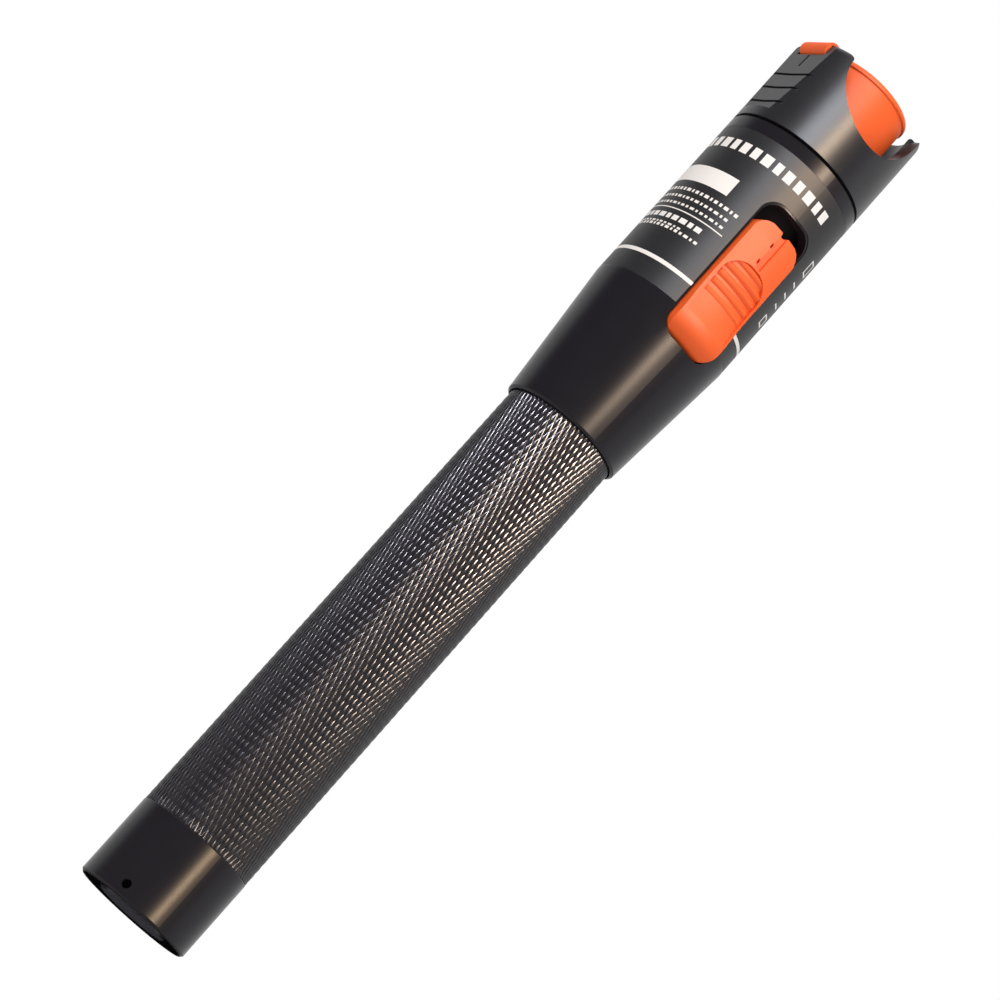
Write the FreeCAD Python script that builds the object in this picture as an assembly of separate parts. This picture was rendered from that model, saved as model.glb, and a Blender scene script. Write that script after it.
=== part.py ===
"""Visual fault locator, pen type, for finding breaks in optical fibre.

Frame: millimetres, origin on the tail face, +Z along the pen to the fibre port,
+X through the middle of the slide switch, dust-cap hinge on the -Y side.
"""
import FreeCAD
import Part
import math
import os

V = FreeCAD.Vector
OUT = "parts"

# ---- overall -------------------------------------------------------------
R_HEAD = 13.0             # head, label band and body cylinder
TAIL_LEN = 14.6           # tail cap outside the barrel
CONE_LEN = 24.6           # front body from its lip to full diameter
FILM_LEN = 31.5           # printed film round the front body
BAND_LEN = 2.3            # bare band ahead of the film
HEAD_SEAM = 0.6           # open seam between front body and head shell
HEAD_BASE = 6.4           # head shell behind the floor of its cup
CUP_DEPTH = 10.9          # cup floor to the tips of the horns
SEAT_GAP = 0.02           # pieces that sit face to face
RUN_GAP = 0.25            # pieces that move past each other

# ---- cells ---------------------------------------------------------------
CELL_R = 7.25
CELL_LEN = 50.5
NUB_R = 2.75
NUB_LEN = 1.3
R_CELL_BORE = CELL_R + 0.2

# ---- tail cap and barrel, from the cells outward ---------------------------
SKIRT_WALL = 0.9
THREAD_DEPTH = 0.4
R_SKIRT_CORE = R_CELL_BORE + SKIRT_WALL
R_SKIRT = R_SKIRT_CORE + THREAD_DEPTH
R_CAP_BORE = R_SKIRT + 0.08
GRIP_WALL = 1.32
R_GRIP = R_CAP_BORE + GRIP_WALL   # over the knurl
R_TAIL = R_GRIP + 0.05
SKIRT_LEN = 7.5
SKIRT_LAND = 2.2          # plain land that carries the seal ring
SEAL_R = 0.28             # round section of the seal rings
R_CORD_BOSS = 6.4         # middle boss inside the cord groove
CORD_RIM = 0.9            # thin rim around the cord groove
CORD_DEPTH = 4.2
CORD_HOLE_R = 0.8
CORD_HOLE_Z = 2.1
CORD_HOLE_ANGLE = -46.0
CAP_WEB = 1.6             # metal between cord groove and cell cavity
SPRING_ROOM = 6.3
SPRING_R = 3.6
SPRING_WIRE = 0.4
SPRING_PITCH = 2.0
Z_SEAM = TAIL_LEN
Z_CAP_FLOOR = CORD_DEPTH + CAP_WEB
Z_CELLS = Z_CAP_FLOOR + SPRING_ROOM
Z_CELLS_END = Z_CELLS + 2 * CELL_LEN
NECK_STEP = 1.15
R_NECK = R_GRIP - NECK_STEP       # front neck that carries the front body
NECK_LEN = 6.6
CELL_REACH = 12.1         # front cell reaches this far into the front body
LIP_DEPTH = 1.4           # barrel shoulder stands this far inside the lip
Z_LIP = Z_CELLS_END - CELL_REACH
Z_SHOULDER = Z_LIP + LIP_DEPTH

# ---- front body ----------------------------------------------------------
LIP_GAP = 0.25            # dark gap between knurl and lip
LIP_WALL = 0.45
R_LIP = R_GRIP + LIP_GAP + LIP_WALL
BODY_WALL = 2.4
R_BORE = R_HEAD - BODY_WALL       # front bore for the inner carrier
R_PASS = R_CELL_BORE + 0.45
Z_DISC = Z_CELLS_END + 1.7        # seat of the contact disc
R_FRONT_NECK = R_BORE + 1.1       # neck that carries the head shell
FRONT_NECK_LEN = 5.4

# ---- printed film --------------------------------------------------------
FILM_T = 0.12
FILM_SUNK = 0.02          # film stands this far under the body surface
Z_CONE = Z_LIP + CONE_LEN
Z_FILM = Z_CONE + 0.4
Z_FILM_END = Z_FILM + FILM_LEN
R_FILM_SEAT = R_HEAD - FILM_SUNK - FILM_T
Z_BODY_END = Z_FILM_END + BAND_LEN
Z_NECK_END = Z_BODY_END + FRONT_NECK_LEN
Z_HEAD = Z_BODY_END + HEAD_SEAM
Z_CUP_FLOOR = Z_HEAD + HEAD_BASE
LENGTH = Z_CUP_FLOOR + CUP_DEPTH

# ---- slot and slider -----------------------------------------------------
SLOT_W = 10.8
SLOT_CORNER = 3.0
FILM_MARGIN = 0.35        # film cut-out stands back from the slot
SLIDER_GAP = 0.25
SLIDER_LEN = 24.75
TRAVEL = 3.0              # three positions, two steps
SLOT_START = 4.1          # slot begins this far behind the end of the cone
Z_SLOT = Z_CONE - SLOT_START
Z_SLOT_END = Z_SLOT + SLIDER_LEN + TRAVEL + 2 * SLIDER_GAP
Z_SLIDER = Z_SLOT + SLIDER_GAP
Z_SLIDER_END = Z_SLIDER + SLIDER_LEN
R_HUMP = R_HEAD + 1.55    # crest of the thumb hump
R_SCOOP = R_HEAD + 0.45   # bottom of the thumb scoop
R_PLATEAU = R_HEAD + 1.0  # flat part ahead of the scoop
FLANGE_W = SLOT_W + 2.4
FLANGE_T = 0.8
RIDGES = 6
RIDGE_PITCH = 1.8
RIDGE_H = 0.4
GROOVE_W = 1.3

# ---- head shell ----------------------------------------------------------
HEAD_EDGE = 1.2
CUP_EDGE = 0.7
CUP_WALL = 2.3
R_CUP = R_HEAD - CUP_WALL         # well that the dust cap closes
WEB_T = 1.3
R_NOTCH = 9.4             # thumb notches, cut straight through
NOTCH_BACK = 0.7          # notch centre stands behind the front face
PAD_CUT = 1.4             # slanted tread pads, cut into the head at its front
PAD_SLOPE = 3.2
PAD_LEN = 15.5
TREAD_W = 0.5
TREAD_DEPTH = 0.4
TREAD_BACK = (7.1, 10.3, 13.6)    # side ends of the tread lines behind the front face
TREAD_DROP = 0.3
TREAD_MID = (2.5, 5.3)      # short groove between the front line and the edge

# ---- dust cap ------------------------------------------------------------
CAP_CLEAR = 1.3
R_CAP = R_CUP - CAP_CLEAR
CAP_PROUD = 0.5
CAP_EDGE = 0.6
CAP_LIP = 0.25             # thin lip round the top of the cap
CAP_LIP_H = 0.9
CAP_TOP = 1.7
CAP_WALL = 1.4
R_CAP_INNER = R_CAP - CAP_WALL
Z_CAP_SKIRT = Z_CUP_FLOOR + 1.6
CAP_RELIEF = 16.5         # slanted underside, lets the far edge swing clear
R_PLUG = 2.6
R_SEAL_PAD = 2.9
SEAL_PAD_T = 0.8
HINGE_Y = -(R_CUP + 0.2)
HINGE_Z = LENGTH - 0.7
R_KNUCKLE = 1.4
KNUCKLE_LEN = 7.5
KNUCKLE_GAP = 0.2
PIN_R = 0.35
PIN_LEN = KNUCKLE_LEN + 2.9
PIN_HOLE_R = 0.42

# ---- fibre port and optics -----------------------------------------------
PORT_R = 3.15
Z_PORT = Z_CUP_FLOOR + 4.6
PORT_FLANGE_R = 5.5
PORT_FLANGE_T = 1.8
SLEEVE_BORE_R = 1.25      # takes the 2.5 mm ferrule
SLEEVE_R = 1.6
SLEEVE_LEN = 10.2
SLEEVE_SLIT = 0.25
HOLDER_R = 4.6
HOLDER_LEN = 14.7
Z_HOLDER_END = Z_CUP_FLOOR - 8.6
Z_HOLDER = Z_HOLDER_END - HOLDER_LEN
DIODE_FLANGE_R = 2.8      # 5.6 mm can
DIODE_CAN_R = 2.3
LENS_R = 2.8

# ---- inner carrier and electronics ---------------------------------------
CARRIER_GAP = 0.1
R_COVER = R_BORE - 1.3    # carrier wall behind the front of the slot
DISC_T = 1.6
SWITCH_H = 3.4
LEVER_L = 2.0
LEVER_W = 1.8
Z_LEVER = Z_SLIDER + 9.6
Z_SWITCH = Z_LEVER - 3.0
Z_SWITCH_END = Z_LEVER + LEVER_L + TRAVEL + 3.0
BOARD_X = 2.4
BOARD_T = 1.0
BOARD_W = 15.6
Z_BOARD = Z_DISC + DISC_T + 4.2
Z_BOARD_END = Z_SWITCH_END + 2.0
SCREW_R = 0.8


def cyl(radius, z0, z1, x=0.0, y=0.0):
    """Upright cylinder between two stations."""
    return Part.makeCylinder(radius, z1 - z0, V(x, y, z0))


def tube(outer, inner, z0, z1):
    """Upright tube between two stations."""
    return cyl(outer, z0, z1).cut(cyl(inner, z0 - 1, z1 + 1))


def box(x0, x1, y0, y1, z0, z1):
    """Box between two corners."""
    return Part.makeBox(x1 - x0, y1 - y0, z1 - z0, V(x0, y0, z0))


def turned(points, angle=360.0, start=0.0):
    """Solid turned about Z from (radius, z) points."""
    ring = [V(r, 0, z) for r, z in points]
    solid = Part.Face(Part.makePolygon(ring + ring[:1])).revolve(V(0, 0, 0), V(0, 0, 1), angle)
    solid.rotate(V(0, 0, 0), V(0, 0, 1), start)
    return solid


def across(radius, length, y, z):
    """Cylinder along X, centred on the middle plane."""
    return Part.makeCylinder(radius, length, V(-length / 2, y, z), V(1, 0, 0))


def window(width, z0, z1, corner, x0, x1):
    """Round-cornered window tool cut along X."""
    tool = box(x0, x1, -width / 2, width / 2, z0, z1)
    edges = [e for e in tool.Edges if abs(e.tangentAt(e.FirstParameter).x) > 0.9]
    return tool.makeFillet(corner, edges)


def circles(shape, radius, z):
    """Edges of a turned shape that are circles of one radius at one station."""
    return [e for e in shape.Edges if hasattr(e.Curve, "Radius")
            and abs(e.Curve.Radius - radius) < 1e-3 and abs(e.Curve.Center.z - z) < 1e-3]


def ring(major, z, minor=SEAL_R, sides=6):
    """Rubber seal ring, its round section given by a few flats."""
    turn = [2 * math.pi * (i + 0.5) / sides for i in range(sides)]
    return turned([(major + minor * math.cos(a), z + minor * math.sin(a)) for a in turn])


# ---- tail end --------------------------------------------------------------
def tail_cap():
    z_top = Z_SEAM + SKIRT_LEN
    r_rim = R_TAIL - CORD_RIM
    cap = turned([(0, 0), (R_CORD_BOSS - 0.3, 0), (R_CORD_BOSS, 0.3), (R_CORD_BOSS, CORD_DEPTH),
                  (r_rim, CORD_DEPTH), (r_rim, 0), (R_TAIL - 0.4, 0), (R_TAIL, 0.4),
                  (R_TAIL, Z_SEAM - 0.2), (R_TAIL - 0.15, Z_SEAM - SEAT_GAP), (R_SKIRT, Z_SEAM - SEAT_GAP),
                  (R_SKIRT, Z_SEAM + SKIRT_LAND), (R_SKIRT_CORE, Z_SEAM + SKIRT_LAND + THREAD_DEPTH),
                  (R_SKIRT_CORE, z_top), (R_CELL_BORE, z_top),
                  (R_CELL_BORE, Z_CAP_FLOOR), (0, Z_CAP_FLOOR)])
    groove = tube(R_SKIRT + 1, R_SKIRT - 2 * SEAL_R, Z_SEAM + 0.7, Z_SEAM + 1.7)
    a = math.radians(CORD_HOLE_ANGLE)
    way = V(math.cos(a), math.sin(a), 0)
    hole = Part.makeCylinder(CORD_HOLE_R, 4, V(0, 0, CORD_HOLE_Z) + way * (r_rim - 1), way)
    return cap.cut(groove).cut(hole)


def contact_spring():
    z0 = Z_CAP_FLOOR + SPRING_WIRE + 0.1
    z1 = Z_CELLS - SPRING_WIRE - 0.1
    path = Part.Wire(Part.makeHelix(SPRING_PITCH, z1 - z0, SPRING_R).Edges)
    turn = [2 * math.pi * i / 6 for i in range(6)]
    rim = [V(SPRING_R + SPRING_WIRE * math.cos(a), 0, SPRING_WIRE * math.sin(a)) for a in turn]
    end = Part.makePolygon(rim + rim[:1])
    spring = path.makePipeShell([end], True, True)
    spring.translate(V(0, 0, z0))
    return spring


def battery_cell(index):
    z = Z_CELLS + index * CELL_LEN
    can = z + CELL_LEN - NUB_LEN
    return turned([(0, z), (CELL_R - 0.4, z), (CELL_R, z + 0.4), (CELL_R, can - 0.4),
                   (CELL_R - 0.4, can), (NUB_R, can), (NUB_R, can + NUB_LEN), (0, can + NUB_LEN)])


def barrel():
    z_front = Z_SHOULDER + NECK_LEN
    tube_body = turned([(R_CAP_BORE, Z_SEAM), (R_GRIP - 0.15, Z_SEAM), (R_GRIP, Z_SEAM + 0.15),
                        (R_GRIP, Z_SHOULDER), (R_NECK, Z_SHOULDER), (R_NECK, z_front - 0.4),
                        (R_NECK - 0.4, z_front), (R_CELL_BORE, z_front),
                        (R_CELL_BORE, Z_SEAM + SKIRT_LEN + 0.3), (R_CAP_BORE, Z_SEAM + SKIRT_LEN + 0.3)])
    return tube_body.cut(tube(R_NECK + 1, R_NECK - 2 * SEAL_R, Z_SHOULDER + 1.2, Z_SHOULDER + 2.2))


# ---- front body ------------------------------------------------------------
def front_body():
    r_lip_in = R_GRIP + LIP_GAP
    z_neck_top = Z_SHOULDER + NECK_LEN + 0.3
    body = turned([(r_lip_in, Z_LIP), (R_LIP, Z_LIP), (R_HEAD, Z_CONE), (R_HEAD, Z_FILM),
                   (R_FILM_SEAT, Z_FILM), (R_FILM_SEAT, Z_FILM_END), (R_HEAD, Z_FILM_END),
                   (R_HEAD, Z_BODY_END), (R_FRONT_NECK, Z_BODY_END), (R_FRONT_NECK, Z_NECK_END - 0.4),
                   (R_FRONT_NECK - 0.4, Z_NECK_END), (R_BORE, Z_NECK_END), (R_BORE, Z_DISC),
                   (R_PASS, Z_DISC), (R_PASS, z_neck_top), (R_NECK + 0.08, z_neck_top),
                   (R_NECK + 0.08, Z_SHOULDER + SEAT_GAP), (r_lip_in, Z_SHOULDER + SEAT_GAP)])
    body = body.makeChamfer(0.35, circles(body, R_LIP, Z_LIP))
    body = body.cut(window(SLOT_W, Z_SLOT, Z_SLOT_END, SLOT_CORNER, 6, R_HEAD + 2))
    return body.cut(tube(R_FRONT_NECK + 1, R_FRONT_NECK - 0.45, Z_BODY_END + 2.0, Z_BODY_END + 3.0))


def label_film():
    film = tube(R_HEAD - FILM_SUNK, R_FILM_SEAT + 0.005, Z_FILM + 0.02, Z_FILM_END - 0.02)
    width = SLOT_W + 2 * FILM_MARGIN
    return film.cut(window(width, Z_SLOT - 4, Z_SLOT_END + FILM_MARGIN, SLOT_CORNER, 6, R_HEAD + 2))


# ---- slide switch ----------------------------------------------------------
def slider_button():
    z0, z1 = Z_SLIDER, Z_SLIDER_END
    z_scoop = z0 + 5.6
    z_step = z0 + 17.1
    width = SLOT_W - 2 * SLIDER_GAP
    top = slider_top(z0, z1, z_scoop)
    top = top.common(window(width, z0, z1, SLOT_CORNER - SLIDER_GAP, 6, R_HUMP + 2))
    top = top.cut(thumb_scoop(width, z_scoop, z_step))
    for i in range(RIDGES):
        top = top.fuse(ridge(z_scoop + 1.9 + i * RIDGE_PITCH, width / 2 - 0.9))
    groove = box(R_PLATEAU - 0.6, R_HUMP, -GROOVE_W / 2, GROOVE_W / 2, z_step + 0.3, z1 + 1)
    nick = Part.makeCylinder(0.85, 4, V(R_PLATEAU - 2.2, 0, z1 + 0.25), V(1, 0, 0))
    top = top.cut(groove).cut(nick)
    for z in (z_step + 0.9, z_step + 4.3):
        top = top.cut(box(R_PLATEAU - 1.2, R_HUMP, -1.0, -0.35, z, z + 0.9))
    return top.fuse(slider_foot(z0, z1)).cut(lever_pocket()).removeSplitter()


def slider_top(z0, z1, z_scoop):
    """Thumb hump and plateau, turned about the pen's axis with a flowing outline."""
    back = Part.BSplineCurve()
    back.interpolate([V(r, 0, z) for r, z in [
        (R_HEAD - 1.6, z0), (R_HEAD - 0.1, z0 + 0.75), (R_HUMP - 0.35, z0 + 2.2), (R_HUMP, z0 + 4.0),
        (R_HUMP - 0.2, z_scoop + 0.6), (R_PLATEAU + 0.05, z_scoop + 4.0), (R_PLATEAU, z_scoop + 8.0)]])
    rest = Part.makePolygon([V(r, 0, z) for r, z in [
        (R_PLATEAU, z_scoop + 8.0), (R_PLATEAU, z1 - 2.6), (R_PLATEAU - 0.25, z1), (R_BORE - 1, z1),
        (R_BORE - 1, z0), (R_HEAD - 1.6, z0)]])
    face = Part.Face(Part.Wire([back.toShape()] + rest.Edges))
    solid = face.revolve(V(0, 0, 0), V(0, 0, 1), 80)
    solid.rotate(V(0, 0, 0), V(0, 0, 1), -40)
    return solid


def thumb_scoop(width, z_scoop, z_step):
    """Hollow for the thumb, its bottom an arc, its front end round."""
    z_mid = (z_scoop + z_step) / 2
    bottom = Part.Arc(V(R_HUMP, 0, z_scoop - 1.2), V(R_SCOOP, 0, z_mid),
                      V(R_SCOOP + 0.25, 0, z_step + 1)).toShape()
    rest = Part.makePolygon([V(R_SCOOP + 0.25, 0, z_step + 1), V(R_HUMP + 2, 0, z_step + 1),
                             V(R_HUMP + 2, 0, z_scoop - 1.2), V(R_HUMP, 0, z_scoop - 1.2)])
    tool = Part.Face(Part.Wire([bottom] + rest.Edges)).revolve(V(0, 0, 0), V(0, 0, 1), 80)
    tool.rotate(V(0, 0, 0), V(0, 0, 1), -40)
    return tool.common(window(width - 1.0, z_scoop - 9, z_step, width / 2 - 1.1, 6, R_HUMP + 3))


def ridge(z, half):
    """Round-backed grip ridge across the scoop."""
    base, tip = R_SCOOP - 0.3, R_SCOOP + RIDGE_H
    rib = turned([(base, z - 0.7), (R_SCOOP + 0.05, z - 0.62), (tip - 0.1, z - 0.3), (tip, z),
                  (tip - 0.1, z + 0.3), (R_SCOOP + 0.05, z + 0.62), (base, z + 0.7)], 80, -40)
    return rib.common(box(6, R_HUMP, -half, half, z - 1, z + 1))


def slider_foot(z0, z1):
    """Flange that runs inside the body bore, and the foot that takes the lever."""
    r_out = R_BORE - RUN_GAP / 2
    flange = turned([(r_out - FLANGE_T, z0 - 1.2), (r_out, z0 - 1.2),
                     (r_out, z1 - 1.5), (r_out - FLANGE_T, z1 - 1.5)], 100, -50)
    flange = flange.common(box(4, R_BORE, -FLANGE_W / 2, FLANGE_W / 2, z0 - 2, z1 + 1))
    return [flange, box(r_out - 2.0, r_out, -2.2, 2.2, Z_LEVER - 2.4, Z_LEVER + LEVER_L + 2.4)]


def lever_pocket():
    half = LEVER_W / 2 + 0.15
    r_out = R_BORE - RUN_GAP / 2
    return box(5, r_out - 0.5, -half, half, Z_LEVER - 0.15, Z_LEVER + LEVER_L + 0.15)


def switch_lever():
    x0 = BOARD_X + BOARD_T + SWITCH_H - 0.9
    return box(x0, R_BORE - RUN_GAP / 2 - 0.8, -LEVER_W / 2, LEVER_W / 2, Z_LEVER, Z_LEVER + LEVER_L)


def switch_case():
    x0 = BOARD_X + BOARD_T + SEAT_GAP
    x1 = BOARD_X + BOARD_T + SWITCH_H
    case = box(x0, x1, -3.2, 3.2, Z_SWITCH, Z_SWITCH_END)
    half = LEVER_W / 2 + 0.2
    slot = box(x1 - 1.2, x1 + 1, -half, half, Z_LEVER - 0.3, Z_LEVER + LEVER_L + TRAVEL + 0.3)
    return case.cut(slot)


# ---- head ------------------------------------------------------------------
def notch_tool():
    """Round notch whose mouth flares into the rounded horn tips."""
    z_mid = LENGTH - NOTCH_BACK
    zf = LENGTH - HEAD_EDGE
    yf = math.sqrt((R_NOTCH + HEAD_EDGE) ** 2 - (zf - z_mid) ** 2)
    rim = [V(0, 0, z_mid), V(0, yf, zf), V(0, yf, LENGTH + 1), V(0, -yf, LENGTH + 1), V(0, -yf, zf)]
    mouth = Part.Face(Part.makePolygon(rim + rim[:1])).extrude(V(30, 0, 0))
    for side in (-1, 1):
        mouth = mouth.cut(across(HEAD_EDGE, 80, side * yf, zf))
    return mouth.fuse(Part.makeCylinder(R_NOTCH, 30, V(0, 0, z_mid), V(1, 0, 0)))


def pad_tool():
    """Block that planes the slanted tread pad on the -Y side, with its tread bars left standing."""
    block = box(-20, 20, -20, 0, -PAD_LEN, 2)
    grooves = []
    for back in TREAD_BACK:
        w = TREAD_W / 2
        pts = [(-9, -back), (0, -back - TREAD_DROP), (9, -back)]
        line = [V(x, -1, dz - w) for x, dz in pts] + [V(x, -1, dz + w) for x, dz in reversed(pts)]
        grooves.append(Part.Face(Part.makePolygon(line + line[:1])).extrude(V(0, 1 + TREAD_DEPTH, 0)))
    grooves.append(box(-TREAD_W / 2, TREAD_W / 2, -1, TREAD_DEPTH, -TREAD_MID[1], -TREAD_MID[0]))
    tool = block.fuse(grooves)
    tool.rotate(V(0, 0, 0), V(1, 0, 0), -PAD_SLOPE)
    tool.translate(V(0, PAD_CUT - R_HEAD, LENGTH))
    return tool


def head_shell():
    z_web = Z_CUP_FLOOR - WEB_T
    shell = turned([(R_FRONT_NECK + 0.08, Z_HEAD), (R_HEAD, Z_HEAD), (R_HEAD, LENGTH), (R_CUP, LENGTH),
                    (R_CUP, Z_CUP_FLOOR), (5.0, Z_CUP_FLOOR), (5.0, Z_CUP_FLOOR + 0.6),
                    (PORT_R + 0.05, Z_CUP_FLOOR + 0.6), (PORT_R + 0.05, z_web),
                    (R_FRONT_NECK + 0.08, z_web)])
    shell = shell.makeFillet(HEAD_EDGE, circles(shell, R_HEAD, LENGTH))
    shell = shell.makeFillet(CUP_EDGE, circles(shell, R_CUP, LENGTH))
    shell = shell.cut(pad_tool())
    far = pad_tool()
    far.rotate(V(0, 0, 0), V(0, 0, 1), 180)
    shell = shell.cut(far)
    for angle in (0, 180):
        notch = notch_tool()
        notch.translate(V(6, 0, 0))
        notch.rotate(V(0, 0, 0), V(0, 0, 1), angle)
        shell = shell.cut(notch)
    slot_half = KNUCKLE_LEN / 2 + KNUCKLE_GAP
    shell = shell.cut(box(-slot_half, slot_half, -R_HEAD - 1, HINGE_Y + 2,
                          HINGE_Z - R_KNUCKLE - 0.3, LENGTH + 1))
    return shell.cut(across(PIN_HOLE_R, PIN_LEN + 0.4, HINGE_Y, HINGE_Z))


def dust_cap():
    z_top = LENGTH + CAP_PROUD
    z_in = z_top - CAP_TOP
    z_plug = Z_PORT + 0.3 + SEAL_PAD_T
    z_lip = z_top - CAP_LIP_H
    r_side = R_CAP - CAP_LIP
    cap = turned([(0, z_top), (R_CAP, z_top), (R_CAP, z_lip), (r_side, z_lip - CAP_LIP),
                  (r_side, Z_CAP_SKIRT), (R_CAP_INNER, Z_CAP_SKIRT), (R_CAP_INNER, z_in),
                  (R_PLUG, z_in), (R_PLUG, z_plug), (0, z_plug)])
    cap = cap.makeFillet(CAP_EDGE, circles(cap, R_CAP, z_top))
    relief = box(-20, 20, 0, 30, -10, 0)
    relief.rotate(V(0, 0, 0), V(1, 0, 0), CAP_RELIEF)
    relief.translate(V(0, 0.5, Z_CAP_SKIRT))
    cap = cap.cut(relief)
    bridge = box(-KNUCKLE_LEN / 2, KNUCKLE_LEN / 2, HINGE_Y, -R_CAP_INNER - 0.3,
                 HINGE_Z - R_KNUCKLE, HINGE_Z + R_KNUCKLE)
    return cap.fuse([across(R_KNUCKLE, KNUCKLE_LEN, HINGE_Y, HINGE_Z), bridge]).removeSplitter() \
        .cut(across(PIN_HOLE_R, PIN_LEN, HINGE_Y, HINGE_Z))


def seal_pad():
    return cyl(R_SEAL_PAD, Z_PORT + 0.3, Z_PORT + 0.3 + SEAL_PAD_T - SEAT_GAP)


def hinge_pin():
    return across(PIN_R, PIN_LEN, HINGE_Y, HINGE_Z)


# ---- fibre port and optics ---------------------------------------------------
def port_adapter():
    z_fl = Z_CUP_FLOOR - WEB_T - SEAT_GAP
    z_sleeve = Z_PORT - 0.5 - SLEEVE_LEN
    return turned([(2.2, Z_HOLDER_END + 0.3), (4.0, Z_HOLDER_END + 0.3), (4.0, z_fl - PORT_FLANGE_T),
                   (PORT_FLANGE_R, z_fl - PORT_FLANGE_T), (PORT_FLANGE_R, z_fl), (PORT_R, z_fl),
                   (PORT_R, Z_PORT - 0.3), (PORT_R - 0.3, Z_PORT), (SLEEVE_R + 0.1, Z_PORT),
                   (SLEEVE_R - 0.1, Z_PORT - 0.2), (SLEEVE_R - 0.1, Z_PORT - 0.45),
                   (SLEEVE_R + 0.06, Z_PORT - 0.45), (SLEEVE_R + 0.06, z_sleeve - 0.05),
                   (0.8, z_sleeve - 0.05), (0.8, z_sleeve - 0.8), (2.2, z_sleeve - 0.8)])


def split_sleeve():
    z1 = Z_PORT - 0.5
    sleeve = tube(SLEEVE_R, SLEEVE_BORE_R, z1 - SLEEVE_LEN, z1)
    return sleeve.cut(box(0, 3, -SLEEVE_SLIT / 2, SLEEVE_SLIT / 2, z1 - SLEEVE_LEN - 1, z1 + 1))


def laser_holder():
    return turned([(DIODE_FLANGE_R + 0.1, Z_HOLDER), (HOLDER_R, Z_HOLDER), (HOLDER_R, Z_HOLDER_END),
                   (LENS_R + 0.1, Z_HOLDER_END), (LENS_R + 0.1, Z_HOLDER_END - 4.4),
                   (1.6, Z_HOLDER_END - 4.4), (1.6, Z_HOLDER + 6.4),
                   (DIODE_CAN_R + 0.1, Z_HOLDER + 6.4), (DIODE_CAN_R + 0.1, Z_HOLDER + 2.4),
                   (DIODE_FLANGE_R + 0.1, Z_HOLDER + 2.4)])


def laser_diode():
    z = Z_HOLDER + 1.16
    can = cyl(DIODE_FLANGE_R, z, z + 1.2).fuse(cyl(DIODE_CAN_R, z + 1.2, z + 4.6))
    pins = [cyl(0.22, z - 4.4, z + 0.2, 1.27 * math.cos(a), 1.27 * math.sin(a))
            for a in (math.radians(d) for d in (0, 120, 240))]
    return can.fuse(pins)


def focusing_lens():
    z = Z_HOLDER_END - 4.4 + SEAT_GAP
    ball = Part.makeSphere(5.2, V(0, 0, z + 2.2 - 5.2))
    return cyl(LENS_R, z, z + 2.2).common(ball)


def lens_ring():
    z = Z_HOLDER_END - 4.4 + 2.25
    return tube(LENS_R + 0.05, 1.8, z, z + 1.2)


# ---- inner carrier and electronics -------------------------------------------
def contact_disc():
    return tube(R_BORE - CARRIER_GAP, 1.6, Z_DISC + SEAT_GAP, Z_DISC + DISC_T)


def positive_contact():
    z = Z_CELLS_END + 0.1
    return cyl(3.0, z, Z_DISC).fuse(cyl(1.5, Z_DISC - 0.1, Z_DISC + DISC_T + 1.2))


def screw_stations():
    return (Z_BOARD + 2.2, Z_BOARD_END - 2.2)


def inner_carrier():
    r = R_BORE - CARRIER_GAP
    z0 = Z_DISC + DISC_T + SEAT_GAP
    rear = tube(r, 4.0, z0, z0 + 3.0)
    cradle = tube(r, r - 1.8, z0, Z_HOLDER_END)
    cradle = cradle.cut(box(BOARD_X - SEAT_GAP, 20, -20, 20, z0 + 3.0, Z_BOARD_END + 1.0))
    cradle = cradle.cut(box(0, 20, -7.4, 7.4, z0 + 3.0, Z_HOLDER_END + 1))
    cover = tube(R_COVER, R_COVER - 1.0, Z_BOARD_END + 1.5, Z_HOLDER_END)
    cover = cover.common(box(0, 20, -8.6, 8.6, 0, LENGTH))
    front = tube(r - 0.5, HOLDER_R + 0.05, Z_HOLDER + 0.9, Z_HOLDER + 4.5)
    front2 = tube(r - 0.5, HOLDER_R + 0.05, Z_HOLDER_END - 4.0, Z_HOLDER_END)
    keep = box(-20, r - 4.2, -20, 20, z0, Z_HOLDER_END + 1)
    ledges = [box(BOARD_X - 2.2, BOARD_X - SEAT_GAP, y - 1.6, y + 1.6, z0 + 2.0, Z_BOARD_END)
              .common(cyl(r, z0, Z_HOLDER_END)) for y in (-6.0, 6.0)]
    body = rear.fuse([cradle, cover, front.common(keep), front2.common(keep)] + ledges).removeSplitter()
    for z in screw_stations():
        body = body.cut(Part.makeCylinder(SCREW_R + 0.05, 4.0, V(BOARD_X + 0.1, 6.2, z), V(-1, 0, 0)))
    return body


def main_board():
    board = box(BOARD_X, BOARD_X + BOARD_T, -BOARD_W / 2, BOARD_W / 2, Z_BOARD, Z_BOARD_END)
    for z in screw_stations():
        board = board.cut(Part.makeCylinder(SCREW_R + 0.1, 4, V(BOARD_X - 1, 6.2, z), V(1, 0, 0)))
    return board


def board_screws():
    parts = []
    for z in screw_stations():
        x = BOARD_X + BOARD_T + SEAT_GAP
        head = Part.makeCylinder(1.4, 0.9, V(x, 6.2, z), V(1, 0, 0))
        shank = Part.makeCylinder(SCREW_R, 3.8, V(x + 0.1, 6.2, z), V(-1, 0, 0))
        parts.append(head.fuse(shank).cut(box(x + 0.5, x + 2, 5.0, 7.4, z - 0.2, z + 0.2)))
    return Part.makeCompound(parts)


def driver_chip():
    x = BOARD_X - SEAT_GAP
    return box(x - 1.4, x, -2.5, 2.5, Z_BOARD + 4.0, Z_BOARD + 9.0)


def power_coil():
    x = BOARD_X - SEAT_GAP
    coil = Part.makeCylinder(3.0, 2.8, V(x, 0, Z_BOARD + 13.4), V(-1, 0, 0))
    return coil.cut(Part.makeCylinder(1.0, 0.6, V(x - 2.3, 0, Z_BOARD + 13.4), V(-1, 0, 0)))


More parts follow.
